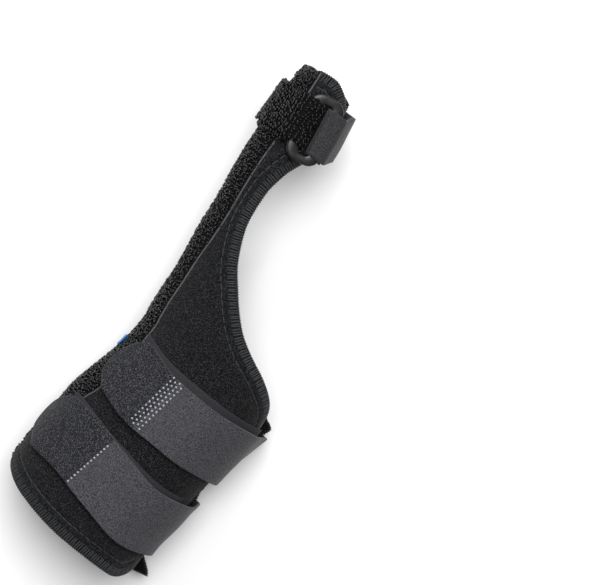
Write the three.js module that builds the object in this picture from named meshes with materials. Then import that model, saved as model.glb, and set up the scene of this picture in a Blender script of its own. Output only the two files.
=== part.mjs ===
// A thumb spica splint for the left hand, closed as it is worn, in millimetres.
// It lies on its back: +Z is the palm side, +Y points from the forearm to the thumb's tip
// and -X is the thumb side. The origin is the middle of its outer box, on the resting surface.

import * as THREE from 'three';

// Overall form
const LENGTH = 201; // cuff's lower edge to the thumb's open end
const CUFF_W = 65; // across the cuff, outside
const CUFF_H = 46; // cuff's height before its back is flattened
const THUMB_W = 27; // across the thumb tube, outside
const THUMB_H = 25; // thumb tube's height, outside
const REST_H = 20.5; // middle of the cuff above the resting surface
const THUMB_LIFT = 25.6; // middle of the thumb tube above the resting surface
const FLAP = 10; // how far the back flap stands out past the wrist
const FLAP_FROM = -90; // turn at which the back begins to stand out, in degrees
const FLAP_TO = -38; // turn at which it stands out in full
const FLAP_CURL = 1.5; // how late between them the flap turns out

// Values of the sections' columns where THUMB_W, THUMB_H and THUMB_LIFT hold
const THUMB_WIDE = 0.415;
const THUMB_HIGH = 0.543;
const THUMB_RISE = 1.25;
const THUMB_FROM = 0.52; // share of LENGTH at which the thumb's own sizes begin to count
const THUMB_TO = 0.84; // share of LENGTH from which only they count

// Walls and clearances
const WALL = 3; // padded fabric
const STRAP_T = 1.2; // strap webbing
const BACKING_T = 0.8; // thin layer under each wrist strap
const GAP = 0.3; // between pieces that touch

// Edges of the panels
const HEM_BOW = 10.5; // how far the palm side's lower edge bows down
const TIP_BOW = 6.4; // how far the thumb's open edge arches
const SEAM_GAP = 0.4;

// Wrist straps
const WRIST_STRAP_W = 25;
const TAB_ROUND = 10; // depth of a strap's round end
const UPPER_PEEK = 3; // backing that shows past the upper strap
const LOWER_PEEK = 2.2;
const STRAP_CLEAR = 0.55; // between a wrist strap and its backing
const UPPER_TAB = 151; // turn at which each strap's round end lies, in degrees
const LOWER_TAB = 165;
const LINE_STEP = 4; // between the points of a strap's line, in degrees
const FOLD_R = 2.95; // inside of the strap's fold round the back flap's edge
const FOLD_FROM = 75; // turns round the flap's edge at which the fold begins and ends
const FOLD_TO = -90;
const FOLD_STEP = 33;
const SEWN_FROM = 7; // stretch of the sewn end, in degrees past the flap's edge
const SEWN_TO = 13;

// Turns that each backing covers, and the shares of its strap's line that it follows
const UPPER_BACKING = { from: 142, to: 8, start: 0.04, end: 0.66 };
const LOWER_BACKING = { from: 150, to: 30, start: 0.12, end: 0.62 };

// Ring and thumb straps
const RING_L = 27.4;
const RING_W = 14.4;
const RING_T = 2;
const RING_ROUND = 5;
const RING_BAR = 5; // width of its long bars
const RING_END = 3.2; // width of its round ends
const SLOT_ROUND = 1.5; // rounding of the slot's corners
const RING_EDGE = 0.4; // rounding of the ring's rims
const RING_TURN = 72.5; // place round the thumb, in degrees
const RING_SLANT = 10.9; // turn of its long axis towards the thumb side, in degrees
const RING_LIFT = 3; // ring's middle above the panel
const THUMB_STRAP_W = 18;
const RING_STRAP_W = 18.8;
const THUMB_STRAP_FROM = 238; // turns of the thumb strap's sewn end and of its fold, in degrees
const THUMB_STRAP_TO = 122;
const FOLDED_FROM = 128; // turns that its folded part covers
const FOLDED_TO = 178;
const RING_STRAP_FROM = -44; // turns of the ring strap's stretch along the back of the thumb
const RING_STRAP_TO = -80;
const TURN_STEP = 12; // between the points of those stretches

// Label
const LABEL_W = 5;
const LABEL_T = 0.8;
const LABEL_AT = 0.36; // its place as a share of LENGTH
const LABEL_FROM = -162; // turns of its sewn and free ends, in degrees
const LABEL_TO = -187;
const LABEL_STAND = 0.7; // how far its free end stands off

// Grid of each bent sheet: steps around and along
const PANEL_ROWS = 38;
const PALM_STEPS = 20;
const BACK_STEPS = 22;
const STRAP_ROWS = 5;
const THUMB_STRAP_ROWS = 4;
const LABEL_STEPS = 5;
const LABEL_ROWS = 2;
const STRAP_STEPS = 32;
const BACKING_STEPS = 22;
const THUMB_STRAP_STEPS = 46;
const RING_STRAP_STEPS = 32;

// Sections across the limb. mid and wide: middle and half width; rise and high: the same in height.
// seam, palm and back: turns in degrees of the seam and of the free edge of each panel,
// from 0 on the little-finger side through 90 on the palm side to 180 on the thumb side.
const SECTIONS = [
  { y: 0, mid: -0.038, wide: 0.504, rise: 1, high: 0.5, seam: 178, palm: -6, back: -38 },
  { y: 0.097, mid: -0.053, wide: 0.49, rise: 1, high: 0.5, seam: 178, palm: -6, back: -38 },
  { y: 0.147, mid: -0.04, wide: 0.498, rise: 1, high: 0.5, seam: 170, palm: -6, back: -38 },
  { y: 0.226, mid: -0.028, wide: 0.498, rise: 1, high: 0.5, seam: 143, palm: -6, back: -38 },
  { y: 0.271, mid: -0.013, wide: 0.493, rise: 1, high: 0.5, seam: 138, palm: -6, back: -38 },
  { y: 0.371, mid: 0.032, wide: 0.475, rise: 1, high: 0.493, seam: 145, palm: -5, back: -38 },
  { y: 0.42, mid: 0.037, wide: 0.475, rise: 1.005, high: 0.488, seam: 146, palm: 12, back: -38 },
  { y: 0.445, mid: 0.028, wide: 0.48, rise: 1.01, high: 0.485, seam: 146, palm: 25.5, back: -38 },
  { y: 0.47, mid: 0.014, wide: 0.477, rise: 1.015, high: 0.48, seam: 146, palm: 44.5, back: -52 },
  { y: 0.495, mid: -0.005, wide: 0.469, rise: 1.01, high: 0.475, seam: 145, palm: 66, back: -71 },
  { y: 0.52, mid: -0.028, wide: 0.454, rise: 1.005, high: 0.466, seam: 144, palm: 79, back: -84 },
  { y: 0.57, mid: -0.095, wide: 0.408, rise: 1.005, high: 0.445, seam: 141, palm: 90.5, back: -95 },
  { y: 0.619, mid: -0.18, wide: 0.346, rise: 1.045, high: 0.415, seam: 134, palm: 97, back: -102 },
  { y: 0.669, mid: -0.255, wide: 0.292, rise: 1.11, high: 0.375, seam: 128, palm: 98.5, back: -103 },
  { y: 0.744, mid: -0.34, wide: 0.243, rise: 1.17, high: 0.32, seam: 122, palm: 89, back: -95 },
  { y: 0.794, mid: -0.38, wide: 0.225, rise: 1.21, high: 0.295, seam: 118, palm: 74, back: -79 },
  { y: 0.843, mid: -0.406, wide: 0.214, rise: 1.235, high: 0.28, seam: 114, palm: 52, back: -53 },
  { y: 0.893, mid: -0.42, wide: 0.211, rise: 1.25, high: 0.272, seam: 112, palm: 24, back: -26 },
  { y: 0.968, mid: -0.45, wide: 0.195, rise: 1.265, high: 0.259, seam: 112, palm: 20, back: -22 },
  { y: 1, mid: -0.461, wide: 0.187, rise: 1.27, high: 0.25, seam: 114, palm: 24, back: -30 },
];

// How far the back flap stands out past the limb, as a share of FLAP
const FLARES = [
  { y: 0, out: 1.42 },
  { y: 0.03, out: 1.3 },
  { y: 0.068, out: 0.6 },
  { y: 0.135, out: 0.71 },
  { y: 0.198, out: 0.87 },
  { y: 0.25, out: 0.6 },
  { y: 0.32, out: 0.8 },
  { y: 0.385, out: 1 },
  { y: 0.4, out: 1.08 },
  { y: 0.425, out: 0.2 },
  { y: 0.45, out: 0 },
];

// Lower edge of the palm side from its seam to its free edge, as a share of HEM_BOW
const PALM_HEM = [
  { across: 0, up: 1 },
  { across: 0.28, up: 0.3 },
  { across: 0.51, up: 0.03 },
  { across: 0.76, up: 0 },
  { across: 0.9, up: 0.45 },
  { across: 1, up: 1.35 },
];

// Thumb's open edge on the palm side, from its seam to its free edge, as a share of TIP_BOW
const PALM_TIP = [
  { across: 0, down: 0.08 },
  { across: 0.35, down: 0 },
  { across: 0.7, down: 0.38 },
  { across: 1, down: 1.1 },
];

// Both ends of the back panel from its free edge to its seam, as shares of HEM_BOW and TIP_BOW
const BACK_ENDS = [
  { across: 0, up: 0.54, down: 0.5 },
  { across: 0.1, up: 0.32, down: 0.3 },
  { across: 0.5, up: 0.55, down: 0.1 },
  { across: 0.85, up: 0.85, down: 0.5 },
  { across: 1, up: 1, down: 0.08 },
];

// Middle line of each wrist strap from its tab round to its sewn end, as a share of LENGTH
const UPPER_LINE = [
  { across: 0, y: 0.332 },
  { across: 0.22, y: 0.31 },
  { across: 0.4, y: 0.3085 },
  { across: 0.65, y: 0.316 },
  { across: 0.88, y: 0.32 },
  { across: 1, y: 0.32 },
];
const LOWER_LINE = [
  { across: 0, y: 0.162 },
  { across: 0.14, y: 0.159 },
  { across: 0.33, y: 0.14 },
  { across: 0.52, y: 0.1225 },
  { across: 0.72, y: 0.1335 },
  { across: 0.9, y: 0.14 },
  { across: 1, y: 0.14 },
];

// Middle line of the two thumb straps, as a share of LENGTH
const THUMB_LINE = [
  { across: 0, y: 0.886 },
  { across: 0.5, y: 0.892 },
  { across: 0.62, y: 0.902 },
  { across: 1, y: 0.897 },
];
const RING_STRAP_LINE = [
  { across: 0, y: 0.901 },
  { across: 0.35, y: 0.905 },
  { across: 0.55, y: 0.922 },
  { across: 1, y: 0.925 },
];

// How the ring strap hangs between the ring and the back of the thumb, in millimetres off the panel
const RING_STRAP_SLACK = [
  { turn: 37, lift: 4.8 },
  { turn: 20, lift: 3.3 },
  { turn: -4, lift: 2.6 },
  { turn: -26, lift: 1.6 },
];

// Steps of a wrist strap's grid lie closer where it folds
const STRAP_SPACING = [
  { step: 0, share: 0 },
  { step: 0.6, share: 0.76 },
  { step: 0.92, share: 0.97 },
  { step: 1, share: 1 },
];

// A strap's way round a bar of the ring: along from the bar's middle to its slot side, and up from
// under it to over it, both as shares of the strap's distance from the bar's middle
const BAR_TURN = [
  { along: -1.15, up: -1 },
  { along: -0.3, up: -1 },
  { along: 0.7, up: -0.98 },
  { along: 1.02, up: -0.5 },
  { along: 1.05, up: 0 },
  { along: 1.02, up: 0.5 },
  { along: 0.7, up: 0.98 },
  { along: -0.3, up: 1.01 },
  { along: -1.05, up: 0.93 },
];

const DEG = Math.PI / 180;
const RING_Y = 0.9 * LENGTH;

// Value of one column of a table at a place, smooth and with no overshoot
function read(rows, key, column, at) {
  const last = rows.length - 1;
  if (at <= rows[0][key]) return rows[0][column];
  if (at >= rows[last][key]) return rows[last][column];
  const slope = (i) =>
    (rows[i + 1][column] - rows[i][column]) / (rows[i + 1][key] - rows[i][key]);
  const tangent = (i) => {
    if (i === 0) return slope(0);
    if (i === last) return slope(last - 1);
    const before = slope(i - 1);
    const after = slope(i);
    return before * after <= 0 ? 0 : (2 * before * after) / (before + after);
  };
  const i = rows.findIndex((row, k) => at < rows[k + 1][key]);
  const step = rows[i + 1][key] - rows[i][key];
  const t = (at - rows[i][key]) / step;
  const start = rows[i][column];
  const end = rows[i + 1][column];
  const blend = t * t * (3 - 2 * t);
  return (
    start +
    (end - start) * blend +
    step * t * (1 - t) * ((1 - t) * tangent(i) - t * tangent(i + 1))
  );
}

// The limb's section at a place along it. The thumb's share grows where the cuff has ended.
function section(y) {
  const at = y / LENGTH;
  const pick = (column) => read(SECTIONS, 'y', column, at);
  const thumb = THREE.MathUtils.smoothstep(at, THUMB_FROM, THUMB_TO);
  const widthScale = THREE.MathUtils.lerp(CUFF_W, THUMB_W / THUMB_WIDE, thumb);
  const heightScale = THREE.MathUtils.lerp(CUFF_H, THUMB_H / THUMB_HIGH, thumb);
  const riseScale = THREE.MathUtils.lerp(REST_H, THUMB_LIFT / THUMB_RISE, thumb);
  return {
    mid: pick('mid') * CUFF_W,
    wide: pick('wide') * widthScale,
    rise: pick('rise') * riseScale,
    high: pick('high') * heightScale,
  };
}

const turnOf = (column, y) => read(SECTIONS, 'y', column, y / LENGTH);

// Point of the limb's surface at a turn round it, lifted outwards, and flat where it rests
function skin(y, turn, lift) {
  const { mid, wide, rise, high } = section(y);
  const c = Math.cos(turn * DEG);
  const s = Math.sin(turn * DEG);
  const size = Math.hypot(c / wide, s / high);
  const x = mid + wide * c + (lift * c) / wide / size;
  const z = rise + high * s + (lift * s) / high / size;
  return new THREE.Vector3(x, y, Math.max(z, -lift, 0));
}

// The same for the back panel, whose free side stands out from the limb
function backSkin(y, turn, lift) {
  const point = skin(y, turn, lift);
  const rising = THREE.MathUtils.clamp((turn - FLAP_FROM) / (FLAP_TO - FLAP_FROM), 0, 1);
  point.x += FLAP * read(FLARES, 'y', 'out', y / LENGTH) * rising ** FLAP_CURL;
  return point;
}

// A closed sheet bent from a box: place(u, v, w) takes the share across, along and through it
function bentSheet(steps, rows, place) {
  const geometry = new THREE.BoxGeometry(1, 1, 1, steps, rows, 1);
  const corners = geometry.attributes.position;
  for (let i = 0; i < corners.count; i += 1) {
    const u = corners.getX(i) + 0.5;
    const v = corners.getY(i) + 0.5;
    const w = corners.getZ(i) + 0.5;
    const point = place(u, v, w);
    corners.setXYZ(i, point.x, point.y, point.z);
  }
  geometry.computeVertexNormals();
  return geometry;
}

// Half of the seam's gap, as a turn in degrees
function seamGapTurn(y) {
  const { wide, high } = section(y);
  return SEAM_GAP / 2 / Math.min(wide, high) / DEG;
}

function palmarPanel() {
  return bentSheet(PALM_STEPS, PANEL_ROWS, (u, v, w) => {
    const low = HEM_BOW * read(PALM_HEM, 'across', 'up', u);
    const top = LENGTH - TIP_BOW * read(PALM_TIP, 'across', 'down', u);
    const y = THREE.MathUtils.lerp(low, top, v);
    const seam = turnOf('seam', y) - seamGapTurn(y);
    const turn = THREE.MathUtils.lerp(seam, turnOf('palm', y), u);
    return skin(y, turn, WALL * (w - 1));
  });
}

function dorsalPanel() {
  return bentSheet(BACK_STEPS, PANEL_ROWS, (u, v, w) => {
    const low = HEM_BOW * read(BACK_ENDS, 'across', 'up', u);
    const top = LENGTH - TIP_BOW * read(BACK_ENDS, 'across', 'down', u);
    const y = THREE.MathUtils.lerp(low, top, v);
    const seam = turnOf('seam', y) - 360 + seamGapTurn(y);
    const turn = THREE.MathUtils.lerp(turnOf('back', y), seam, u);
    return backSkin(y, turn, WALL * (w - 1));
  });
}

// Point and outward direction at a share of the way along a line of points in one cross plane,
// moved on by a length
function walk(points, share, onward = 0) {
  const lengths = [0];
  for (let i = 1; i < points.length; i += 1) {
    lengths.push(lengths[i - 1] + points[i].distanceTo(points[i - 1]));
  }
  const goal = share * lengths.at(-1) + onward;
  let i = 1;
  while (i < points.length - 1 && lengths[i] < goal) i += 1;
  const along = (goal - lengths[i - 1]) / (lengths[i] - lengths[i - 1]);
  const point = points[i - 1].clone().lerp(points[i], along);
  const before = points[Math.max(i - 2, 0)];
  const after = points[Math.min(i + 1, points.length - 1)];
  const near = points[i].clone().sub(points[i - 1]).normalize();
  const back = points[i - 1].clone().sub(before).normalize();
  const ahead = after.clone().sub(points[i]).normalize();
  const startDirection = near.clone().add(back);
  const endDirection = near.clone().add(ahead);
  const tangent = startDirection.lerp(endDirection, along).normalize();
  return { point, outward: new THREE.Vector3(-tangent.z, 0, tangent.x) };
}

// Drops the points that a tight strap passes by without touching
function taut(points) {
  const kept = [];
  for (const point of points) {
    while (kept.length > 1) {
      const a = kept.at(-2);
      const b = kept.at(-1);
      const turn = (b.x - a.x) * (point.z - b.z) - (b.z - a.z) * (point.x - b.x);
      if (turn < 0) break;
      kept.pop();
    }
    kept.push(point);
  }
  return kept;
}

// Line of a wrist strap's inner face from its tab, over the palm side, round the back flap's edge
function wristStrapLine(y, tab, lift) {
  const points = [];
  for (let turn = tab; turn >= -LINE_STEP; turn -= LINE_STEP) points.push(skin(y, turn, lift));
  const edge = turnOf('back', y);
  const rim = backSkin(y, edge, -WALL / 2);
  const inside = backSkin(y, edge - LINE_STEP, -WALL / 2);
  const out = rim.clone().sub(inside).normalize();
  const up = new THREE.Vector3(-out.z, 0, out.x);
  const centre = rim.clone().addScaledVector(out, -WALL / 2);
  for (let angle = FOLD_FROM; angle >= FOLD_TO; angle -= FOLD_STEP) {
    const point = centre.clone();
    point.addScaledVector(out, FOLD_R * Math.cos(angle * DEG));
    point.addScaledVector(up, FOLD_R * Math.sin(angle * DEG));
    points.push(point);
  }
  const line = taut(points);
  for (const share of [0, 0.5, 1]) {
    const turn = edge - THREE.MathUtils.lerp(SEWN_FROM, SEWN_TO, share);
    line.push(backSkin(y, turn, FOLD_R - WALL / 2));
  }
  return line;
}

// How far a round end is set back at a share of the strap's width
const roundEnd = (v) => TAB_ROUND * (1 - Math.sqrt(1 - 0.96 * (2 * v - 1) ** 2));

function wristStrap(line, tab) {
  const lift = GAP + BACKING_T + STRAP_CLEAR;
  return bentSheet(STRAP_STEPS, STRAP_ROWS, (u, v, w) => {
    const share = read(STRAP_SPACING, 'step', 'share', u);
    const y = LENGTH * read(line, 'across', 'y', share) + WRIST_STRAP_W * (v - 0.5);
    const onward = (1 - share) * roundEnd(v);
    const { point, outward } = walk(wristStrapLine(y, tab, lift), share, onward);
    return point.addScaledVector(outward, STRAP_T * w);
  });
}

function strapBacking(line, peek, cover) {
  return bentSheet(BACKING_STEPS, STRAP_ROWS, (u, v, w) => {
    const across = THREE.MathUtils.lerp(cover.start, cover.end, u);
    const y = LENGTH * read(line, 'across', 'y', across) + WRIST_STRAP_W * (v - 0.5) + peek;
    const turn = THREE.MathUtils.lerp(cover.from, cover.to, u);
    return skin(y, turn, GAP + BACKING_T * w);
  });
}

// The ring's middle and directions in the cross plane at y: across it and out of it
function ringFrame(y) {
  const centre = skin(RING_Y, RING_TURN, RING_LIFT);
  const seat = skin(RING_Y, RING_TURN, 0);
  const out = centre.clone().sub(seat).normalize();
  const across = new THREE.Vector3(out.z, 0, -out.x);
  const shift = Math.tan(RING_SLANT * DEG) * (y - RING_Y);
  const middle = centre.clone().addScaledVector(across, -shift).setY(y);
  return { middle, across, out };
}

// Points round one bar of the ring: side is -1 for the bar on the thumb side and 1 for the other
function roundBar(y, side) {
  const { middle, across, out } = ringFrame(y);
  const bar = RING_W / 2 - RING_BAR / 2;
  const clear = GAP + STRAP_T / 2;
  const reach = RING_BAR / 2 + clear;
  const height = RING_T / 2 + clear;
  return BAR_TURN.map(({ along, up }) =>
    middle
      .clone()
      .addScaledVector(across, side * (bar - along * reach))
      .addScaledVector(out, up * height),
  );
}

// A ribbon whose middle runs through points that path(y) gives
function ribbon(steps, width, line, path) {
  return bentSheet(steps, THUMB_STRAP_ROWS, (u, v, w) => {
    const y = LENGTH * read(line, 'across', 'y', u) + width * (v - 0.5);
    const curve = new THREE.CatmullRomCurve3(path(y), false, 'centripetal');
    const { point, outward } = walk(curve.getSpacedPoints(4 * steps), u);
    return point.addScaledVector(outward, STRAP_T * (w - 0.5));
  });
}

function turns(y, from, to, lift) {
  const points = [];
  const count = Math.round(Math.abs(to - from) / TURN_STEP);
  for (let i = 0; i <= count; i += 1) {
    points.push(skin(y, THREE.MathUtils.lerp(from, to, i / count), lift));
  }
  return points;
}

// From the back of the thumb, under the ring's near bar, through the slot and back over itself
function thumbStrapPath(y) {
  const under = GAP + STRAP_T / 2;
  const over = under + STRAP_T + GAP;
  const around = turns(y, THUMB_STRAP_FROM, THUMB_STRAP_TO, under);
  const back = turns(y, FOLDED_FROM, FOLDED_TO, over);
  return [...around, ...roundBar(y, -1), ...back];
}

// From a short tail under the ring's far bar, through the slot, over it and round to the back
function ringStrapPath(y) {
  const under = GAP + STRAP_T / 2;
  const side = RING_STRAP_SLACK.map(({ turn, lift }) => skin(y, turn, lift));
  return [...roundBar(y, 1), ...side, ...turns(y, RING_STRAP_FROM, RING_STRAP_TO, under)];
}

function thumbRing() {
  const outline = (shape, length, width, radius) => {
    const x = width / 2 - radius;
    const y = length / 2 - radius;
    shape.absarc(x, y, radius, 0, Math.PI / 2);
    shape.absarc(-x, y, radius, Math.PI / 2, Math.PI);
    shape.absarc(-x, -y, radius, Math.PI, 1.5 * Math.PI);
    shape.absarc(x, -y, radius, 1.5 * Math.PI, 2 * Math.PI);
    return shape;
  };
  const edge = RING_EDGE;
  const body = outline(new THREE.Shape(), RING_L - 2 * edge, RING_W - 2 * edge, RING_ROUND - edge);
  const slotL = RING_L - 2 * RING_END + 2 * edge;
  const slotW = RING_W - 2 * RING_BAR + 2 * edge;
  body.holes.push(outline(new THREE.Path(), slotL, slotW, SLOT_ROUND));
  const geometry = new THREE.ExtrudeGeometry(body, {
    depth: RING_T - 2 * edge,
    bevelSize: edge,
    bevelThickness: edge,
    bevelSegments: 1,
    curveSegments: 5,
  });
  geometry.translate(0, 0, edge - RING_T / 2);
  return geometry;
}

function labelTab() {
  return bentSheet(LABEL_STEPS, LABEL_ROWS, (u, v, w) => {
    const y = LABEL_AT * LENGTH + LABEL_W * (v - 0.5);
    const turn = THREE.MathUtils.lerp(LABEL_FROM, LABEL_TO, u);
    return skin(y, turn, GAP + LABEL_STAND * u ** 2 + LABEL_T * w);
  });
}

const fabric = (color, roughness) => new THREE.MeshStandardMaterial({ color, roughness, metalness: 0 });
const smoothFabric = fabric('#232426', 0.9);
const loopFabric = fabric('#19191b', 0.95);
const webbing = fabric('#3c3c41', 0.85);
const thinLayer = fabric('#46464a', 0.8);
const plastic = fabric('#1b1c1e', 0.35);
const labelCloth = fabric('#3f7fc4', 0.7);

const splint = new THREE.Group();

function add(name, geometry, material) {
  const mesh = new THREE.Mesh(geometry, material);
  mesh.name = name;
  splint.add(mesh);
  return mesh;
}

add('palmar_panel', palmarPanel(), smoothFabric);
add('dorsal_panel', dorsalPanel(), loopFabric);
add('upper_wrist_strap', wristStrap(UPPER_LINE, UPPER_TAB), webbing);
add('lower_wrist_strap', wristStrap(LOWER_LINE, LOWER_TAB), webbing);
add('upper_strap_backing', strapBacking(UPPER_LINE, UPPER_PEEK, UPPER_BACKING), thinLayer);
add('lower_strap_backing', strapBacking(LOWER_LINE, LOWER_PEEK, LOWER_BACKING), thinLayer);
add('thumb_strap', ribbon(THUMB_STRAP_STEPS, THUMB_STRAP_W, THUMB_LINE, thumbStrapPath), loopFabric);
add('ring_strap', ribbon(RING_STRAP_STEPS, RING_STRAP_W, RING_STRAP_LINE, ringStrapPath), webbing);
add('label_tab', labelTab(), labelCloth);

const ring = add('thumb_ring', thumbRing(), plastic);
const { middle, out } = ringFrame(RING_Y);
ring.position.copy(middle);
ring.rotation.set(0, Math.atan2(out.x, out.z), RING_SLANT * DEG);

// The origin is moved to the middle of the outer box, on the resting surface
splint.updateMatrixWorld(true);
const box = new THREE.Box3().setFromObject(splint, true);
const centre = box.getCenter(new THREE.Vector3());
splint.position.set(-centre.x, -centre.y, 0);

export default splint;
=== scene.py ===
"""A thumb spica splint for the left hand, closed as it is worn and lying on its back, palm side up.

The camera, the floor and the lamps are in metres. The pieces' lengths are in millimetres until a mesh
is made, and MM turns them to metres. +Y points from the forearm to the thumb's tip, +Z is the palm side
and -X is the thumb side.
"""

import math

import bmesh
import bpy
import numpy as np
from mathutils import Matrix, Vector, kdtree, noise
from mathutils.bvhtree import BVHTree


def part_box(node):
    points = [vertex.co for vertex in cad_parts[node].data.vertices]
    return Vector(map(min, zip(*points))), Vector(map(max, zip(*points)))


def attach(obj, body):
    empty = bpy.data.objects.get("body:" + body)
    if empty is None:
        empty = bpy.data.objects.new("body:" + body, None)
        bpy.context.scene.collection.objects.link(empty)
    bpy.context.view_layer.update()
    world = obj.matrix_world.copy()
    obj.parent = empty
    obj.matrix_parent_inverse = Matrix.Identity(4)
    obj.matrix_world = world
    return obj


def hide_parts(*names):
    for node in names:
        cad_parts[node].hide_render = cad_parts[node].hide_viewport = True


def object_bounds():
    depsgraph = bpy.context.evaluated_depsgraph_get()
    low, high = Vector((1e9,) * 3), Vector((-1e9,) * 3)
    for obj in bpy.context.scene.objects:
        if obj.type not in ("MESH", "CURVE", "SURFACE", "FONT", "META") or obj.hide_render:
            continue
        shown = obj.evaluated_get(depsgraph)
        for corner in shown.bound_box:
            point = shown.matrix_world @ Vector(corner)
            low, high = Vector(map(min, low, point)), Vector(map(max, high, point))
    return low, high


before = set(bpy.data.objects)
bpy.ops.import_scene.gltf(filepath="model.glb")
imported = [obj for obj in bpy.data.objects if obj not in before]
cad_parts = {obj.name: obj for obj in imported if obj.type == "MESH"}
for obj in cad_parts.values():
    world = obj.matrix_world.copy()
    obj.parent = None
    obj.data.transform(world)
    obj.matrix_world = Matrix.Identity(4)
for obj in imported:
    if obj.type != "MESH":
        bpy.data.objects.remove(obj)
CAD_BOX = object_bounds()
MM = 0.001

# Camera, floor and light
# The photograph looks straight down on the palm side from arm's length, turned so that the
# forearm comes in at the lower left. A pale matt floor and large soft lamps stand for the studio.
CAMERA_ABOVE = 1.1
CAMERA_AIM = (0.0142, 0.0283)
CAMERA_ROLL = math.radians(39)
PICTURE_WIDTH = 0.229
PICTURE_LEVEL = 0.023  # height at which the picture is that wide
SENSOR = 36.0
FLOOR_SIZE = 6.0
FLOOR_DROP = 0.0002  # keeps the floor's face apart from the splint's
WORLD_LIGHT = 0.17

lens_data = bpy.data.cameras.new("camera")
lens_data.sensor_width = SENSOR
lens_data.lens = SENSOR * (CAMERA_ABOVE - PICTURE_LEVEL) / PICTURE_WIDTH
camera = bpy.data.objects.new("camera", lens_data)
camera.location = (*CAMERA_AIM, CAMERA_ABOVE)
camera.rotation_euler = (0, 0, CAMERA_ROLL)
bpy.context.scene.collection.objects.link(camera)
bpy.context.scene.camera = camera
bpy.context.scene.view_settings.view_transform = "Standard"


def linear(hex_colour):
    """An sRGB colour such as "#232426" as a linear colour with alpha."""
    parts = [int(hex_colour[i : i + 2], 16) / 255 for i in (1, 3, 5)]
    straight = [c / 12.92 if c <= 0.04045 else ((c + 0.055) / 1.055) ** 2.4 for c in parts]
    return (*straight, 1.0)


def add_node(tree, kind, inputs=(), **settings):
    """Adds a node with its settings, its inputs' values and the links into it."""
    made = tree.nodes.new(kind)
    for name, value in settings.items():
        setattr(made, name, value)
    for name, value in dict(inputs).items():
        if isinstance(value, bpy.types.NodeSocket):
            tree.links.new(value, made.inputs[name])
        else:
            made.inputs[name].default_value = value
    return made


def pattern_scale(size):
    """The scale of a texture on Object coordinates whose features are this many millimetres across."""
    return 1 / (size * MM)


def bare_material(name):
    """A material with no surface yet, its tree, and the Object coordinates that its patterns lie on."""
    material = bpy.data.materials.new(name)
    material.use_nodes = True
    material.node_tree.nodes.clear()
    place = add_node(material.node_tree, "ShaderNodeTexCoord").outputs["Object"]
    return material, material.node_tree, place


def surfaced(material, inputs):
    """Gives a material its surface, with these inputs, and returns it."""
    surface = add_node(material.node_tree, "ShaderNodeBsdfPrincipled", inputs)
    add_node(material.node_tree, "ShaderNodeOutputMaterial", {"Surface": surface.outputs["BSDF"]})
    return material


def noise_of(tree, place, size, detail=2.0, roughness=0.5):
    """Noise from 0 to 1 whose clouds are this many millimetres across."""
    inputs = {"Vector": place, "Scale": pattern_scale(size), "Detail": detail, "Roughness": roughness}
    return add_node(tree, "ShaderNodeTexNoise", inputs).outputs["Fac"]


def bumped(tree, height, strength, distance):
    """A normal that follows the height in a socket, to this distance in metres."""
    inputs = {"Height": height, "Strength": strength, "Distance": distance}
    return add_node(tree, "ShaderNodeBump", inputs).outputs["Normal"]


def painted_floor():
    """Matt white studio card: flat, no gloss, with the faintest tooth."""
    material, tree, place = bare_material("matt_card")
    tooth = bumped(tree, noise_of(tree, place, 2.5), 0.05, 0.0002)
    return surfaced(material, {"Base Color": linear("#f4f4f4"), "Roughness": 0.9, "Normal": tooth})


def mesh_object(name, bm, material, smooth=True):
    """Turns a bmesh into an object at the origin, with one material."""
    mesh = bpy.data.meshes.new(name)
    bm.to_mesh(mesh)
    bm.free()
    mesh.polygons.foreach_set("use_smooth", [smooth] * len(mesh.polygons))
    mesh.materials.append(material)
    made = bpy.data.objects.new(name, mesh)
    bpy.context.scene.collection.objects.link(made)
    return made


floor_shape = bmesh.new()
bmesh.ops.create_grid(floor_shape, x_segments=4, y_segments=4, size=FLOOR_SIZE / 2)
floor = mesh_object("floor", floor_shape, painted_floor(), smooth=False)
floor.location.z = -FLOOR_DROP

world = bpy.data.worlds.new("studio")
world.use_nodes = True
world.node_tree.nodes["Background"].inputs["Color"].default_value = (1.0, 1.0, 1.0, 1.0)
world.node_tree.nodes["Background"].inputs["Strength"].default_value = WORLD_LIGHT
bpy.context.scene.world = world

LAMPS = [
    # name, place, width, height and watts
    ("key_lamp", (-0.05, 0.4, 1.5), 1.1, 1.1, 27.0),
    ("fill_lamp", (-0.9, 0.2, 1.0), 1.0, 1.0, 1.5),
    ("rim_strip", (-0.75, 0.95, 0.7), 1.8, 0.15, 11.0),
]
for lamp_name, lamp_place, lamp_width, lamp_height, watts in LAMPS:
    lamp_data = bpy.data.lights.new(lamp_name, "AREA")
    lamp_data.shape = "RECTANGLE"
    lamp_data.size = lamp_width
    lamp_data.size_y = lamp_height
    lamp_data.energy = watts
    lamp = bpy.data.objects.new(lamp_name, lamp_data)
    lamp.location = lamp_place
    lamp.rotation_euler = (-Vector(lamp_place)).to_track_quat("-Z", "Y").to_euler()
    bpy.context.scene.collection.objects.link(lamp)

# Palmar panel
# The front of the splint: brushed knit over 3 mm foam, cut in one piece from the cuff to the
# thumb. Its free edges are overlocked, with close thread across a band about 6 mm wide.
LENGTH = (CAD_BOX[1].y - CAD_BOX[0].y) / MM
CUFF_W = 65
CUFF_H = 46
THUMB_W = 27
THUMB_H = 25
REST_H = 20.5
THUMB_LIFT = 25.6
WALL = 3
HEM_BOW = 10.5
TIP_BOW = 6.4
SEAM_GAP = 0.4
PANEL_GRID = (20, 38)  # the solid's faces across and along
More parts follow.
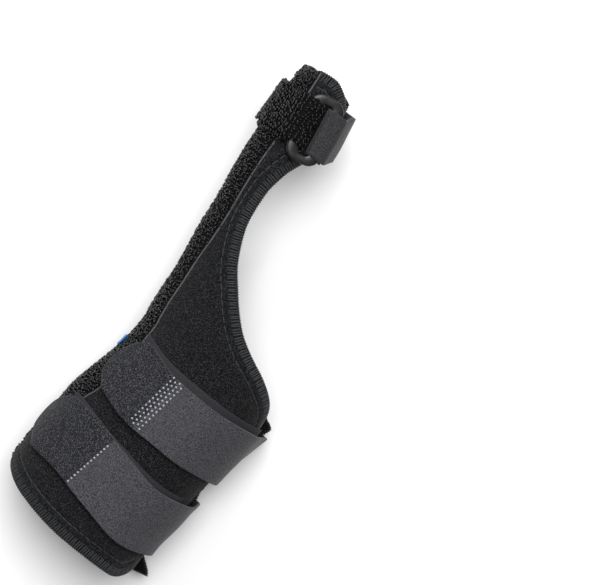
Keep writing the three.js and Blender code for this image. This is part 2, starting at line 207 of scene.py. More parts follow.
# Values of the sections' columns where THUMB_W, THUMB_H and THUMB_LIFT hold
THUMB_WIDE = 0.415
THUMB_HIGH = 0.543
THUMB_RISE = 1.25
THUMB_FROM = 0.52  # share of LENGTH at which the thumb's own sizes begin to count
THUMB_TO = 0.84  # share of LENGTH from which only they count
# The panel's edges
RIM_POINTS = 1500  # along each side
EDGE_CROWD = 0.82  # how much the mesh's rows crowd towards its edges
EDGE_ROUND = 1.65  # width over which an overlocked edge rounds off
SEAM_ROUND = 0.4
EDGE_CALM = 1.2  # width over which the relief fades out
BAND = 6.2  # from the rim to the row of needle stitches
BAND_PRESS = 0.45  # how deep the stitches press the band in
GROOVE_W = 0.6
GROOVE_DEPTH = 0.6
# The overlock thread
THREAD_STEP = 1.0
THREAD_R = 0.26
THREAD_TAPER = 0.55  # radius of a thread's ends, as a share
STITCH_REACH = 0.62  # share of BAND that a stitch covers
STITCH_SHARES = (1.0, 0.72, 0.45)  # of that reach, where a stitch lies on the pad
STITCH_WRAP = ((0.85, 0.25), (0.0, -0.12), (-0.85, 0.25))  # out from the wall's middle, and in from the rim
STITCH_LIFT = 0.3 * THREAD_R
STITCH_LEAN = 0.0875  # how far along the edge a stitch leans, as a share of its reach
STITCH_SWAY = 0.0625
SWAY_STEP = 2.4
NEEDLE_EVERY = 3  # one needle stitch to this many wrapped ones
NEEDLE_L = 2.6
NEEDLE_LIFT = 0.2 * THREAD_R
LAY_FROM = 4  # height over the rim from which a thread is laid down on the pad
LAY_REACH = 7.5


def table(columns, *rows):
    """A table with named columns, as arrays."""
    return dict(zip(columns.split(), np.array(rows, float).T))


SECTIONS = table(
    "y mid wide rise high seam palm back",
    (0, -0.038, 0.504, 1, 0.5, 178, -6, -38),
    (0.097, -0.053, 0.49, 1, 0.5, 178, -6, -38),
    (0.147, -0.04, 0.498, 1, 0.5, 170, -6, -38),
    (0.226, -0.028, 0.498, 1, 0.5, 143, -6, -38),
    (0.271, -0.013, 0.493, 1, 0.5, 138, -6, -38),
    (0.371, 0.032, 0.475, 1, 0.493, 145, -5, -38),
    (0.42, 0.037, 0.475, 1.005, 0.488, 146, 12, -38),
    (0.445, 0.028, 0.48, 1.01, 0.485, 146, 25.5, -38),
    (0.47, 0.014, 0.477, 1.015, 0.48, 146, 44.5, -52),
    (0.495, -0.005, 0.469, 1.01, 0.475, 145, 66, -71),
    (0.52, -0.028, 0.454, 1.005, 0.466, 144, 79, -84),
    (0.57, -0.095, 0.408, 1.005, 0.445, 141, 90.5, -95),
    (0.619, -0.18, 0.346, 1.045, 0.415, 134, 97, -102),
    (0.669, -0.255, 0.292, 1.11, 0.375, 128, 98.5, -103),
    (0.744, -0.34, 0.243, 1.17, 0.32, 122, 89, -95),
    (0.794, -0.38, 0.225, 1.21, 0.295, 118, 74, -79),
    (0.843, -0.406, 0.214, 1.235, 0.28, 114, 52, -53),
    (0.893, -0.42, 0.211, 1.25, 0.272, 112, 24, -26),
    (0.968, -0.45, 0.195, 1.265, 0.259, 112, 20, -22),
    (1, -0.461, 0.187, 1.27, 0.25, 114, 24, -30),
)
PALM_HEM = table("across up", (0, 1), (0.28, 0.3), (0.51, 0.03), (0.76, 0), (0.9, 0.45), (1, 1.35))
PALM_TIP = table("across down", (0, 0.08), (0.35, 0), (0.7, 0.38), (1, 1.1))


def read(rows, key, column, at):
    """Values of one column of a table at each place, smooth and with no overshoot."""
    x, y = rows[key], rows[column]
    slope = np.diff(y) / np.diff(x)
    before, after = slope[:-1], slope[1:]
    total = np.where(before + after == 0, 1, before + after)
    bends = np.where(before * after > 0, 2 * before * after / total, 0)
    tangent = np.concatenate([slope[:1], bends, slope[-1:]])
    at = np.clip(at, x[0], x[-1])
    i = np.clip(np.searchsorted(x, at, side="right") - 1, 0, len(x) - 2)
    step = x[i + 1] - x[i]
    t = (at - x[i]) / step
    blend = t * t * (3 - 2 * t)
    pull = step * t * (1 - t) * ((1 - t) * tangent[i] - t * tangent[i + 1])
    return y[i] + (y[i + 1] - y[i]) * blend + pull


def section(y):
    """The limb's middle, half width, height of its middle and half height at each place along it."""
    at = y / LENGTH
    t = np.clip((at - THUMB_FROM) / (THUMB_TO - THUMB_FROM), 0, 1)
    thumb = t * t * (3 - 2 * t)
    width = CUFF_W + (THUMB_W / THUMB_WIDE - CUFF_W) * thumb
    height = CUFF_H + (THUMB_H / THUMB_HIGH - CUFF_H) * thumb
    rise = REST_H + (THUMB_LIFT / THUMB_RISE - REST_H) * thumb
    return (
        read(SECTIONS, "y", "mid", at) * CUFF_W,
        read(SECTIONS, "y", "wide", at) * width,
        read(SECTIONS, "y", "rise", at) * rise,
        read(SECTIONS, "y", "high", at) * height,
    )


def skin(y, turn, lift):
    """Points of the limb's surface at a turn round it, lifted outwards, flat where it rests."""
    y, turn, lift = np.broadcast_arrays(np.asarray(y, float), turn, lift)
    mid, wide, rise, high = section(y)
    c, s = np.cos(np.radians(turn)), np.sin(np.radians(turn))
    size = np.hypot(c / wide, s / high)
    x = mid + wide * c + lift * c / wide / size
    z = rise + high * s + lift * s / high / size
    return np.stack([x, y, np.maximum(z, np.maximum(-lift, 0))], axis=-1)


def turn_of(column, y):
    """The turn in degrees at which an edge of the panels runs: seam, palm or back."""
    return read(SECTIONS, "y", column, y / LENGTH)


def seam_gap_turn(y):
    """Half of the seam's gap as a turn in degrees."""
    _, wide, _, high = section(y)
    return np.degrees(SEAM_GAP / 2 / np.minimum(wide, high))


def palm_place(u, v, lift):
    """Point of the palmar panel at its shares across and along."""
    low = HEM_BOW * read(PALM_HEM, "across", "up", u)
    top = LENGTH - TIP_BOW * read(PALM_TIP, "across", "down", u)
    y = low + (top - low) * v
    seam = turn_of("seam", y) - seam_gap_turn(y)
    return skin(y, seam + (turn_of("palm", y) - seam) * u, lift)


def limb_zero():
    """Where the limb's own zero lies in the frame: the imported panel's corner less the same grid's here."""
    u, v = np.meshgrid(*(np.linspace(0, 1, steps + 1) for steps in PANEL_GRID))
    corner = palm_place(u, v, 0.0).reshape(-1, 3).min(axis=0)
    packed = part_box("palmar_panel")[0]
    return np.array([packed.x / MM - corner[0], packed.y / MM - corner[1], 0.0])


LIMB_ZERO = limb_zero()


def rim_line(place, sides):
    """Points along some sides of a sheet, in order: hem, free edge, tip or seam."""
    t = np.linspace(0, 1, RIM_POINTS)
    ends = np.zeros(RIM_POINTS)
    walks = {"bottom": (t, ends), "right": (ends + 1, t), "top": (1 - t, ends + 1), "left": (ends, 1 - t)}
    u, v = (np.concatenate(parts) for parts in zip(*(walks[side] for side in sides)))
    return place(u, v, -WALL / 2), u, v


def distances(points, line):
    """Distance of each point from a line of points."""
    tree = kdtree.KDTree(len(line))
    for i, point in enumerate(line):
        tree.insert(point, i)
    tree.balance()
    return np.array([tree.find(point)[2] for point in points])


def grain(points, size, depth, seed):
    """Soft random relief for each point, about depth high and size across."""
    shift = Vector((seed, 2 * seed, 3 * seed))
    return depth * np.array([noise.noise(Vector(p) / size + shift) for p in points])


def crowded(share):
    """Moves shares towards both ends, where a sheet's edges need close rows."""
    return share - EDGE_CROWD * np.sin(2 * math.pi * share) / (2 * math.pi)


def padded_sheet(name, steps, rows, place, edged, joined, relief, material):
    """A closed pad, with relief over its surface.

    edged names its overlocked sides, which are round, and joined the side that is sewn to the other pad.
    """
    bm = bmesh.new()
    bmesh.ops.create_grid(bm, x_segments=steps, y_segments=rows, size=0.5)
    outside = list(bm.verts)
    u, v = crowded(np.array([vert.co[:2] for vert in outside]).T + 0.5)
    middle = place(u, v, -WALL / 2)
    band = distances(middle, rim_line(place, edged)[0])
    sewn = distances(middle, rim_line(place, [joined])[0])
    round_off = np.maximum(np.clip(1 - band / EDGE_ROUND, 0, 1), np.clip(1 - sewn / SEAM_ROUND, 0, 1))
    half = WALL / 2 * np.sqrt(1 - round_off**2)
    pressed = BAND_PRESS * np.exp(-((band / (STITCH_REACH * BAND)) ** 4))
    groove = GROOVE_DEPTH * np.exp(-(((band - BAND) / GROOVE_W) ** 2))
    calm = np.clip(np.minimum(band, sewn) / EDGE_CALM, 0, 1)
    top = place(u, v, -WALL / 2 + half - (pressed + groove - relief(middle)) * calm)
    under = place(u, v, -WALL / 2 - half)
    top[:, 2] = np.maximum(top[:, 2], 0)
    under[:, 2] = np.maximum(under[:, 2], 0)
    copied = bmesh.ops.duplicate(bm, geom=bm.verts[:] + bm.edges[:] + bm.faces[:])
    inside = [part for part in copied["geom"] if isinstance(part, bmesh.types.BMFace)]
    bmesh.ops.reverse_faces(bm, faces=inside)
    for vert, high, low in zip(outside, top, under):
        vert.co = (high + LIMB_ZERO) * MM
        copied["vert_map"][vert].co = (low + LIMB_ZERO) * MM
    bmesh.ops.remove_doubles(bm, verts=bm.verts, dist=1e-7)
    return mesh_object(name, bm, material)


def surface_of(piece):
    """A tree of a piece's faces, for finding points on them."""
    bm = bmesh.new()
    bm.from_mesh(piece.data)
    tree = BVHTree.FromBMesh(bm)
    bm.free()
    return tree


def threads(name, material, lines, radius):
    """One mesh of many short threads: each line is a list of points, and its ends taper."""
    curve = bpy.data.curves.new(name, "CURVE")
    curve.dimensions = "3D"
    curve.bevel_depth = radius * MM
    curve.bevel_resolution = 0
    curve.use_fill_caps = True
    for line in lines:
        spline = curve.splines.new("POLY")
        spline.points.add(len(line) - 1)
        for point, place in zip(spline.points, line):
            point.co = (*place, 1)
        spline.points[0].radius = THREAD_TAPER
        spline.points[-1].radius = THREAD_TAPER
    drawn = bpy.data.objects.new(name + "_curve", curve)
    bpy.context.scene.collection.objects.link(drawn)
    mesh = bpy.data.meshes.new_from_object(drawn.evaluated_get(bpy.context.evaluated_depsgraph_get()))
    bpy.data.objects.remove(drawn)
    bpy.data.curves.remove(curve)
    mesh.name = name
    mesh.polygons.foreach_set("use_smooth", [True] * len(mesh.polygons))
    mesh.materials.clear()
    mesh.materials.append(material)
    made = bpy.data.objects.new(name, mesh)
    bpy.context.scene.collection.objects.link(made)
    return made


def laid(surface, starts, down, lift):
    """Points of a surface under some starts, lifted off it. A start with none close by is left out."""
    found = [surface.ray_cast(start, down, LAY_REACH * MM) for start in starts]
    return [hit + normal * lift * MM for hit, normal, _, _ in found if hit is not None]


def overlock(name, panel, place, sides, material):
    """Thread across a panel's edge: each stitch runs in over the band and wraps the rim."""
    line, u, v = rim_line(place, sides)
    line = (line + LIMB_ZERO) * MM
    along = np.concatenate([[0], np.cumsum(np.linalg.norm(np.diff(line, axis=0), axis=1))]) / MM
    surface = surface_of(panel)
    lines = []
    for i in range(int(along[-1] / THREAD_STEP)):
        k = min(int(np.searchsorted(along, (i + 0.5) * THREAD_STEP)), len(line) - 2)
        rim = Vector(line[k])
        ahead = Vector(line[min(k + 3, len(line) - 1)] - line[max(k - 3, 0)]).normalized()
        out = Vector((place(u[k], v[k], 0.0) - place(u[k], v[k], -1.0)).tolist()).normalized()
        inward = out.cross(ahead).normalized()
        above = rim + out * LAY_FROM * MM
        slant = inward + ahead * (STITCH_SWAY * math.sin(i * SWAY_STEP) + STITCH_LEAN)
        reach = slant * STITCH_REACH * BAND * MM
        over = laid(surface, [above + reach * share for share in STITCH_SHARES], -out, STITCH_LIFT)
        wrap = [rim + (inward * depth + out * side) * MM for side, depth in STITCH_WRAP]
        lines.append(over + wrap)
        if i % NEEDLE_EVERY == 0:
            steps = np.linspace(0, NEEDLE_L * THREAD_STEP, 4)
            starts = [above + (inward * BAND + ahead * step) * MM for step in steps]
            needle = laid(surface, starts, -out, NEEDLE_LIFT)
            if len(needle) > 2:
                lines.append(needle)
    for point in (point for stitch in lines for point in stitch):
        point.z = max(point.z, THREAD_R * MM)
    return threads(name, material, lines, THREAD_R)


def stretched(tree, value, low, high, to_low=0.0, to_high=1.0):
    """A socket's value, moved so that low becomes to_low and high becomes to_high."""
    inputs = {"Value": value, "From Min": low, "From Max": high, "To Min": to_low, "To Max": to_high}
    return add_node(tree, "ShaderNodeMapRange", inputs).outputs["Result"]


def two_tones(tree, share, dark, light):
    """A colour from dark to light, by the share in a socket."""
    inputs = {"Factor": share, 6: linear(dark), 7: linear(light)}
    return add_node(tree, "ShaderNodeMix", inputs, data_type="RGBA").outputs[2]


def clouded(tree, place, colour, size, low, high):
    """A colour that is low to high times as bright, in soft clouds this many millimetres across."""
    shade = stretched(tree, noise_of(tree, place, size), 0, 1, low, high)
    inputs = {"Color": colour, "Value": shade}
    return add_node(tree, "ShaderNodeHueSaturation", inputs).outputs["Color"]


def brushed_knit():
    """Polyester knit brushed to a short nap, dyed black: matt, with fine grey flecks in the light.

    Its fibres, 0.02 mm thick, are too fine to show, so tufts 0.4 to 0.5 mm across stand for them.
    """
    material, tree, place = bare_material("brushed_knit")
    cells = {"Vector": place, "Scale": pattern_scale(0.5)}
    flecks = add_node(tree, "ShaderNodeTexVoronoi", cells).outputs["Distance"]
    nap = noise_of(tree, place, 0.42, detail=3.0, roughness=0.7)
    height = add_node(tree, "ShaderNodeMath", {0: flecks, 1: nap}, operation="ADD").outputs["Value"]
    colour = two_tones(tree, stretched(tree, nap, 0.5, 0.68), "#050506", "#414245")
    inputs = {
        "Base Color": clouded(tree, place, colour, 18, 0.8, 1.15),
        "Roughness": 0.9,
        "Specular IOR Level": 0.12,
        "Sheen Weight": 0.05,
        "Sheen Roughness": 0.5,
        "Normal": bumped(tree, height, 0.55, 0.00035),
    }
    return surfaced(material, inputs)


def spun_thread():
    """Spun polyester sewing thread, black, with a low sheen. Its twist is drawn 0.4 mm long."""
    material, tree, place = bare_material("spun_thread")
    twist = noise_of(tree, place, 0.4, detail=1.0)
    inputs = {
        "Base Color": two_tones(tree, twist, "#121314", "#424447"),
        "Roughness": 0.62,
        "Specular IOR Level": 0.4,
        "Normal": bumped(tree, twist, 0.4, 0.0001),
    }
    return surfaced(material, inputs)


def fitted(piece, slot, *nodes):
    """Fixes a piece to the splint's one body and hides the solids that it stands for. The slot is not used.
    """
    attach(piece, "root")
    if nodes:
        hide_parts(*nodes)
    return piece


knit = brushed_knit()
thread = spun_thread()
palm = padded_sheet(
    "palmar_cover",
    110,
    300,
    palm_place,
    ("bottom", "right", "top"),
    "left",
    lambda p: grain(p, 14, 0.5, 3) + grain(p, 1.6, 0.12, 5),
    knit,
)
fitted(palm, "smooth_fabric", "palmar_panel")
palm_stitches = overlock("palmar_overlock", palm, palm_place, ("bottom", "right", "top"), thread)
fitted(palm_stitches, "smooth_fabric")

# Dorsal panel
# The back and the thumb side: coarse loop knit over 3 mm foam, with a pile that straps can grip.
# Its free side stands out past the wrist as a flap, which the wrist straps fold round.
FLAP = 10
FLAP_FROM = -90  # turn at which the back begins to stand out, in degrees
FLAP_TO = -38  # turn at which it stands out in full
FLAP_CURL = 1.5  # how late between them the flap turns out
ROW_WANDER = 0.0012  # how far the knit's rows wander, in metres
LOOP_R = 0.45
LOOP_TALL = 1.3  # height of a loop, in radii
LOOP_SINK = 0.1
LOOP_THREAD_R = 0.26
LOOP_LEAN = 0.5
LOOP_SIZES = (0.8, 1.2)
SHUFFLE_ALONG = 0.25  # share of the spacing by which loops stray
SHUFFLE_ROUND = 0.13
BACK_PILES = [
    # name, stretch along the limb, turns round it, radius from its middle
    ("thumb_side_pile", (100, 199), (112, 215), 16),
    ("wrist_side_pile", (12, 100), (138, 215), 31),
]
FLARES = table(
    "y out",
    (0, 1.42),
    (0.03, 1.3),
    (0.068, 0.6),
    (0.135, 0.71),
    (0.198, 0.87),
    (0.25, 0.6),
    (0.32, 0.8),
    (0.385, 1),
    (0.4, 1.08),
    (0.425, 0.2),
    (0.45, 0),
)
BACK_ENDS = table(
    "across up down",
    (0, 0.54, 0.5),
    (0.1, 0.32, 0.3),
    (0.5, 0.55, 0.1),
    (0.85, 0.85, 0.5),
    (1, 1, 0.08),
)


def back_place(u, v, lift):
    """Point of the dorsal panel at its shares across and along."""
    low = HEM_BOW * read(BACK_ENDS, "across", "up", u)
    top = LENGTH - TIP_BOW * read(BACK_ENDS, "across", "down", u)
    y = low + (top - low) * v
    seam = turn_of("seam", y) - 360 + seam_gap_turn(y)
    back = turn_of("back", y)
    turn = back + (seam - back) * u
    points = skin(y, turn, lift)
    rising = np.clip((turn - FLAP_FROM) / (FLAP_TO - FLAP_FROM), 0, 1)
    points[..., 0] += FLAP * read(FLARES, "y", "out", y / LENGTH) * rising**FLAP_CURL
    return points


def loop_knit():
    """Unbrushed loop knit, dyed black: rows of small loops, with painted light on their tops and painted
    shade in the gaps between them.
    """
    material, tree, place = bare_material("loop_knit")
    wander = {"Vector": place, "Scale": pattern_scale(3.1), "Detail": 1.0}
    warp = add_node(tree, "ShaderNodeTexNoise", wander).outputs["Color"]
    bent = {0: warp, 1: (ROW_WANDER,) * 3, 2: place}
    moved = add_node(tree, "ShaderNodeVectorMath", bent, operation="MULTIPLY_ADD").outputs["Vector"]
    cells = {"Vector": moved, "Scale": pattern_scale(0.95)}
    rims = add_node(tree, "ShaderNodeTexVoronoi", cells).outputs["Distance"]
    # Painted light and shade: each loop's top is coloured lighter and the gaps between loops darker, and the
    # same pattern gives the bump.
    tops = stretched(tree, rims, 0.42, 0.05, 0, 0.8)
    fuzz = noise_of(tree, place, 0.42)
    painted_light_and_relief = add_node(tree, "ShaderNodeMath", {0: tops, 1: fuzz}, operation="MULTIPLY").outputs["Value"]
    inputs = {
        "Base Color": two_tones(tree, painted_light_and_relief, "#050506", "#252628"),
        "Roughness": 0.8,
        "Specular IOR Level": 0.12,
        "Normal": bumped(tree, painted_light_and_relief, 0.9, 0.0006),
    }
    return surfaced(material, inputs)


def loop_line():
    """One loop of pile: a small arch of thread that stands on the cloth."""
    arch = [math.pi * k / 3 for k in range(4)]
    tall = LOOP_TALL * LOOP_R
    return [Vector((LOOP_R * math.cos(a), 0, tall * math.sin(a) - LOOP_SINK)) * MM for a in arch]


def pile(name, surface, rays, material, seed, bulk, spread):
    """Loops of thread where rays meet a surface, each turned and leaned at random from a seed.

    bulk is the loops' size, and spread is how far they turn apart, in radians.
    """
    shape = loop_line()
    rng = np.random.default_rng(seed)
    lines = []
    for start, end in rays:
        hit, normal, _, _ = surface.ray_cast(start, (end - start).normalized(), (end - start).length)
        if hit is None:
            continue
        spin = Matrix.Rotation(rng.uniform(0, spread), 3, "Z")
        lean = Matrix.Rotation(rng.normal(0, LOOP_LEAN), 3, "X")
        size = bulk * rng.uniform(*LOOP_SIZES)
        turn = normal.to_track_quat("Z", "Y").to_matrix() @ spin @ lean
        lines.append([hit + turn @ (point * size) for point in shape])
    return threads(name, material, lines, LOOP_THREAD_R * bulk)


def pile_rays(along, turns, radius, spacing, row, lifts, seed):
    """Rays towards the limb between two lifts over its skin: rows along it, a little shuffled."""
    rng = np.random.default_rng(seed)
    step = math.degrees(row / radius)
    rays = []
    for y in np.arange(*along, spacing):
        for turn in np.arange(*turns, step):
            near_y = y + rng.normal(0, SHUFFLE_ALONG * spacing)
            near_turn = turn + rng.normal(0, SHUFFLE_ROUND * step)
            rays.append([Vector((skin(near_y, near_turn, lift) + LIMB_ZERO) * MM) for lift in lifts])
    return rays


def pile_thread():
    """Nylon monofilament loops, black: each strand has a small bright glint."""
    material, tree, place = bare_material("pile_thread")
    tone = stretched(tree, noise_of(tree, place, 1.0), 0.46, 0.7)
    colour = two_tones(tree, tone, "#030303", "#202123")
    return surfaced(material, {"Base Color": colour, "Roughness": 0.22, "Specular IOR Level": 0.36})


loops = loop_knit()
back = padded_sheet(
    "dorsal_cover",
    130,
    300,
    back_place,
    ("bottom", "left", "top"),
    "right",
    lambda p: grain(p, 14, 0.4, 7) + grain(p, 0.9, 0.3, 9),
    loops,
)
fitted(back, "loop_fabric", "dorsal_panel")
back_stitches = overlock("dorsal_overlock", back, back_place, ("top", "left", "bottom"), thread)
fitted(back_stitches, "loop_fabric")
pile_black = pile_thread()
back_surface = surface_of(back)
for pile_name, stretch, turns, radius in BACK_PILES:
    back_rays = pile_rays(stretch, turns, radius, spacing=1.3, row=1.4, lifts=(3, -2.5), seed=41)
    back_pile = pile(pile_name, back_surface, back_rays, pile_black, seed=43, bulk=1.35, spread=math.pi)
    fitted(back_pile, "loop_fabric")

# Seam
# The two panels are joined down the thumb side, from the hem to the thumb's mouth. Thick thread
# fills the gap between their edges and shows as a low line, a little lighter than the cloth.
SEAM_R = 0.42
SEAM_DEPTH = 0.3
SEAM_FROM = 10.6
SEAM_TO = 200.4
SEAM_STEP = 1.1


def seam_line():
    """Points along the join of the two panels, a little under their surface."""
    y = np.arange(SEAM_FROM, SEAM_TO, SEAM_STEP)
    points = (skin(y, turn_of("seam", y), -SEAM_DEPTH) + LIMB_ZERO) * MM
    return [Vector(point) for point in points]


def seam_thread():
    """Thick polyester thread, dark grey: lighter than the cloth beside it."""
    material, tree, place = bare_material("seam_thread")
    twist = noise_of(tree, place, 0.77, detail=1.0)
    inputs = {
        "Base Color": two_tones(tree, twist, "#1c1d1f", "#5c5d60"),
        "Roughness": 0.7,
        "Normal": bumped(tree, twist, 0.5, 0.0002),
    }
    return surfaced(material, inputs)


seam = threads("panel_seam", seam_thread(), [seam_line()], SEAM_R)
fitted(seam, "smooth_fabric")

# Wrist straps
# Two 25 mm bands of brushed webbing, sewn to the back flap and folded round its edge. Each ends in a
# round tab, whose grip patch is welded on with rows of small light dots.
SHARP_EDGE = math.radians(55)
EDGE_CREASE = 0.85
PATCH_BLEND = 1.5
SPOT_R = 0.45
SPOT_H = 0.14
SPOT_PITCH = 1.6


def splits_quad(edge):
    """Whether an edge is the longest of both triangles beside it."""
    length = edge.calc_length()
    return len(edge.link_faces) == 2 and all(
        len(face.verts) == 3 and length >= max(e.calc_length() for e in face.edges) - 1e-9
        for face in edge.link_faces
    )


def soft_copy(name, node, levels, material, relief):
    """A solid's mesh with its triangles joined to quads, smoothed, and given a soft surface."""
    bm = bmesh.new()
    bm.from_mesh(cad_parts[node].data)
    bmesh.ops.remove_doubles(bm, verts=bm.verts, dist=1e-6)
    bmesh.ops.dissolve_edges(bm, edges=[e for e in bm.edges if splits_quad(e)], use_verts=False)
    crease = bm.edges.layers.float.new("crease_edge")
    for edge in bm.edges:
        if len(edge.link_faces) == 2 and edge.calc_face_angle() > SHARP_EDGE:
            edge[crease] = EDGE_CREASE
    made = mesh_object(name, bm, material)
    made.data.materials.clear()
    made.data.materials.append(material)
    subdivide = made.modifiers.new("smooth", "SUBSURF")
    subdivide.levels = levels
    subdivide.render_levels = levels
    finished = bpy.data.meshes.new_from_object(made.evaluated_get(bpy.context.evaluated_depsgraph_get()))
    made.modifiers.clear()
    made.data = finished
    points = np.empty(3 * len(finished.vertices))
    normals = np.empty(3 * len(finished.vertices))
    finished.vertices.foreach_get("co", points)
    finished.vertices.foreach_get("normal", normals)
    points, normals = points.reshape(-1, 3), normals.reshape(-1, 3)
    points += normals * relief(points / MM)[:, None] * MM
    finished.vertices.foreach_set("co", points.ravel())
    finished.update()
    return made


def brushed_webbing(name, plain_tones, patch_tones):
    """Brushed polyester webbing, charcoal with a cool cast: even, fine nap with a soft sheen.

    Its nap is drawn 0.45 mm across, coarser than the real fibres. Tones are its darkest and lightest ones.
    """
    material, tree, place = bare_material(name)
    nap = noise_of(tree, place, 0.45, detail=3.0, roughness=0.8)
    plain = two_tones(tree, stretched(tree, nap, 0.38, 0.66), *plain_tones)
    backed = two_tones(tree, stretched(tree, nap, 0.5, 0.66), *patch_tones)
    patch = add_node(tree, "ShaderNodeAttribute", attribute_name="patch").outputs["Fac"]
    mixed = add_node(tree, "ShaderNodeMix", {"Factor": patch, 6: plain, 7: backed}, data_type="RGBA")
    inputs = {
        "Base Color": clouded(tree, place, mixed.outputs[2], 8, 0.9, 1.1),
        "Roughness": 0.78,
        "Specular IOR Level": 0.22,
        "Sheen Weight": 0.1,
        "Sheen Roughness": 0.45,
        "Normal": bumped(tree, nap, 0.5, 0.0002),
    }
    return surfaced(material, inputs)


def weld_spot():
    """Webbing melted by the welding tool: small glossy spots, pale grey."""
    material, tree, place = bare_material("weld_spot")
    colour = two_tones(tree, noise_of(tree, place, 1.1), "#5c5d66", "#b4b5be")
    return surfaced(material, {"Base Color": colour, "Roughness": 0.35})


def spots(name, strap, places, material):
    """Small flat domes on a strap, at places seen from above."""
    surface = surface_of(strap)
    bm = bmesh.new()
    for x, y in places:
        above = Vector((x + LIMB_ZERO[0], y + LIMB_ZERO[1], 2 * CUFF_H)) * MM
        hit, normal, _, _ = surface.ray_cast(above, Vector((0, 0, -1)))
        if hit is None:
            continue
        turn = normal.to_track_quat("Z", "Y").to_matrix().to_4x4()
        place = Matrix.Translation(hit) @ turn @ Matrix.Diagonal((SPOT_R, SPOT_R, SPOT_H, 1 / MM)) * MM
        bmesh.ops.create_uvsphere(bm, u_segments=8, v_segments=5, radius=1, matrix=place)
    return mesh_object(name, bm, material)


def spot_rows(start, end, columns, rows):
    """Places of staggered welded spots: a band of columns from start to end."""
    start, end = Vector(start), Vector(end)
    along = (end - start) / (rows - 1)
    across = Vector((-along.y, along.x)).normalized() * SPOT_PITCH
    places = []
    for row in range(rows):
        for column in range(columns):
            stagger = 0.5 * (column % 2)
            places.append(start + along * (row + stagger) + across * (column - (columns - 1) / 2))
    return places


def mark_patch(strap, start, end):
    """Marks the strap's end past its welded line, where a grip patch backs it: attribute patch is 1."""
    mesh = strap.data
    points = np.empty(3 * len(mesh.vertices))
    mesh.vertices.foreach_get("co", points)
    points = points.reshape(-1, 3) / MM - LIMB_ZERO
    along = np.subtract(end, start) / np.hypot(*np.subtract(end, start))
    aside = (points[:, 0] - start[0]) * along[1] - (points[:, 1] - start[1]) * along[0]
    patch = mesh.attributes.new("patch", "FLOAT", "POINT")
    patch.data.foreach_set("value", np.clip(0.5 + aside / PATCH_BLEND, 0, 1).astype(np.float32))


UPPER_WELDS = ((-2.6, 74.2), (-5.2, 52.5))
LOWER_WELDS = ((-8.2, 38.7), (-11.8, 17.5))
webbing = brushed_webbing("brushed_webbing", ("#151518", "#58585d"), ("#070709", "#595a62"))
weld = weld_spot()
upper = soft_copy("upper_strap", "upper_wrist_strap", 3, webbing, lambda p: grain(p, 16, 0.35, 11))
mark_patch(upper, *UPPER_WELDS)
fitted(upper, "strap_webbing", "upper_wrist_strap")
lower = soft_copy("lower_strap", "lower_wrist_strap", 3, webbing, lambda p: grain(p, 16, 0.35, 13))
mark_patch(lower, *LOWER_WELDS)
fitted(lower, "strap_webbing", "lower_wrist_strap")
upper_spots = spots("upper_strap_welds", upper, spot_rows(*UPPER_WELDS, 4, 13), weld)
fitted(upper_spots, "strap_webbing")
lower_spots = spots("lower_strap_welds", lower, spot_rows(*LOWER_WELDS, 1, 14), weld)
fitted(lower_spots, "strap_webbing")

# Strap backings
# A thin smooth tape of woven polyester under each wrist strap. It lies on the palmar panel and
# shows past the strap's edge on the side towards the hand.


def smooth_tape():
    """Thin woven polyester tape, grey. Its weave is drawn 0.5 mm across, coarser than the real one."""
    material, tree, place = bare_material("smooth_tape")
    weave = noise_of(tree, place, 0.5, detail=1.0)
    inputs = {
        "Base Color": two_tones(tree, weave, "#161619", "#353539"),
        "Roughness": 0.75,
        "Specular IOR Level": 0.15,
        "Normal": bumped(tree, weave, 0.3, 0.0001),
    }
    return surfaced(material, inputs)


tape = smooth_tape()
for tape_name, tape_length in (("upper_strap_backing", 0.068), ("lower_strap_backing", 0.0637)):
    backing = soft_copy(tape_name + "_tape", tape_name, 2, tape, lambda p: grain(p, 12, 0.15, 17))
    fitted(backing, "strap_backing", tape_name)

# Thumb strap
# Loop-faced webbing from the back of the thumb, through the ring's slot and folded back over
# itself, so that its rough loop side shows.
thumb_strap = soft_copy("thumb_loop_strap", "thumb_strap", 2, loops, lambda p: grain(p, 6, 0.12, 19))
fitted(thumb_strap, "loop_webbing", "thumb_strap")
strap_rays = pile_rays((166, 194), (70, 200), 17, spacing=1.15, row=1.5, lifts=(9, 0.5), seed=23)
strap_surface = surface_of(thumb_strap)
thumb_pile = pile("thumb_strap_pile", strap_surface, strap_rays, pile_black, seed=29, bulk=1.35, spread=0.7)
fitted(thumb_pile, "loop_webbing")

# Ring strap
# Smooth brushed webbing, a little narrower than the ring's slot. It runs from a short tail under the
# ring's far bar, over the bar and round to the back of the thumb.
NARROW_TONES = ("#0d0d0f", "#414145")
narrow_webbing = brushed_webbing("narrow_brushed_webbing", NARROW_TONES, NARROW_TONES)
ring_strap = soft_copy("ring_webbing", "ring_strap", 2, narrow_webbing, lambda p: grain(p, 7, 0.15, 31))
fitted(ring_strap, "strap_webbing", "ring_strap")

# Thumb ring
# A rectangular ring with round corners, injection moulded in black nylon. The two thumb straps
# pass through its slot and hold it on the front of the thumb.
RING_L = 27.4
RING_W = 14.4
RING_T = 2
RING_ROUND = 5
RING_BAR = 5
RING_END = 3.2
SLOT_ROUND = 1.5
RING_SOFTNESS = 0.55  # power of the bars' section: 1 is round, 0 is square
EDGE_SOFTNESS = 0.33
SECTION_STEPS = 20
RING_TURN = 72.5
RING_SLANT = 10.9
RING_LIFT = 3
RING_Y = 0.9 * LENGTH


def moulded_nylon():
    """Nylon, injection moulded, black: satin, with faint rub marks."""
    material, tree, place = bare_material("moulded_nylon")
    marks = noise_of(tree, place, 2, detail=4.0)
    inputs = {
        "Base Color": linear("#1b1b1d"),
        "Roughness": stretched(tree, marks, 0, 1, 0.2, 0.36),
        "Specular IOR Level": 0.5,
        "Normal": bumped(tree, marks, 0.12, 0.0001),
    }
    return surfaced(material, inputs)


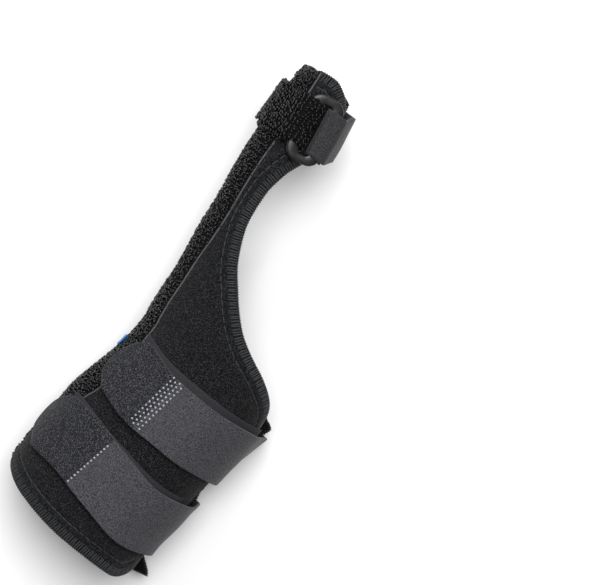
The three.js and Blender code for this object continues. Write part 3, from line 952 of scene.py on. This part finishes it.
def rounded_outline(length, width, radius, side_steps=10, corner_steps=8):
    """Points round a rounded rectangle, from the start of one corner's arc."""
    points = []
    corners = [(1, 1, 0), (-1, 1, 90), (-1, -1, 180), (1, -1, 270)]
    for i, (x_side, y_side, start) in enumerate(corners):
        middle = np.array([x_side * (width / 2 - radius), y_side * (length / 2 - radius)])
        turns = np.radians(start + np.linspace(0, 90, corner_steps + 1))
        arc = middle + radius * np.stack([np.cos(turns), np.sin(turns)], axis=1)
        if points:
            points.extend(np.linspace(points[-1], arc[0], side_steps + 1)[1:-1])
        points.extend(arc)
    points.extend(np.linspace(points[-1], points[0], side_steps + 1)[1:-1])
    return np.array(points)


def ring_shape():
    """A round-cornered frame with a slot, pressed thick, with its rims rounded."""
    outer = rounded_outline(RING_L, RING_W, RING_ROUND)
    slot = rounded_outline(RING_L - 2 * RING_END, RING_W - 2 * RING_BAR, SLOT_ROUND)
    bm = bmesh.new()
    bmesh.ops.create_grid(bm, x_segments=len(outer), y_segments=SECTION_STEPS, size=0.5)
    for vert in bm.verts:
        i = round((vert.co.x + 0.5) * len(outer)) % len(outer)
        step = round((vert.co.y + 0.5) * SECTION_STEPS) % SECTION_STEPS
        angle = 2 * math.pi * step / SECTION_STEPS
        c, s = math.cos(angle), math.sin(angle)
        across = 0.5 + 0.5 * math.copysign(abs(c) ** EDGE_SOFTNESS, c)
        height = 0.5 * RING_T * math.copysign(abs(s) ** RING_SOFTNESS, s)
        x, y = slot[i] + (outer[i] - slot[i]) * across
        vert.co = (x, y, height)
    bmesh.ops.remove_doubles(bm, verts=bm.verts, dist=1e-4)
    bmesh.ops.recalc_face_normals(bm, faces=bm.faces)
    return bm


ring_centre = skin(RING_Y, RING_TURN, RING_LIFT)
ring_out = Vector(ring_centre - skin(RING_Y, RING_TURN, 0)).normalized()
ring_bm = ring_shape()
ring_tip = Matrix.Rotation(math.atan2(ring_out.x, ring_out.z), 4, "Y")
ring_turn = Matrix.Rotation(math.radians(RING_SLANT), 4, "Z")
ring_move = Matrix.Translation((ring_centre + LIMB_ZERO) * MM)
ring_place = ring_move @ ring_tip @ ring_turn @ Matrix.Scale(MM, 4)
bmesh.ops.transform(ring_bm, matrix=ring_place, verts=ring_bm.verts)
ring = mesh_object("thumb_frame_ring", ring_bm, moulded_nylon())
fitted(ring, "ring_plastic", "thumb_ring")

# Label tab
# A short piece of folded polyester tape, sewn in at the thumb side beside the upper strap.
# It is plain, with nothing on it.


def woven_tape():
    """Woven polyester tape, blue: fine ribs across it."""
    material, tree, place = bare_material("woven_tape")
    # A wave texture of scale 1 repeats every pi / 10
    waves = {"Vector": place, "Scale": math.pi / 10 * pattern_scale(0.63)}
    ribs = add_node(tree, "ShaderNodeTexWave", waves, bands_direction="Y").outputs["Fac"]
    inputs = {
        "Base Color": two_tones(tree, ribs, "#2c6fb0", "#4c93d4"),
        "Roughness": 0.6,
        "Normal": bumped(tree, ribs, 0.4, 0.0001),
    }
    return surfaced(material, inputs)


label = soft_copy("plain_tab", "label_tab", 2, woven_tape(), lambda p: grain(p, 5, 0.05, 37))
fitted(label, "label_cloth", "label_tab")
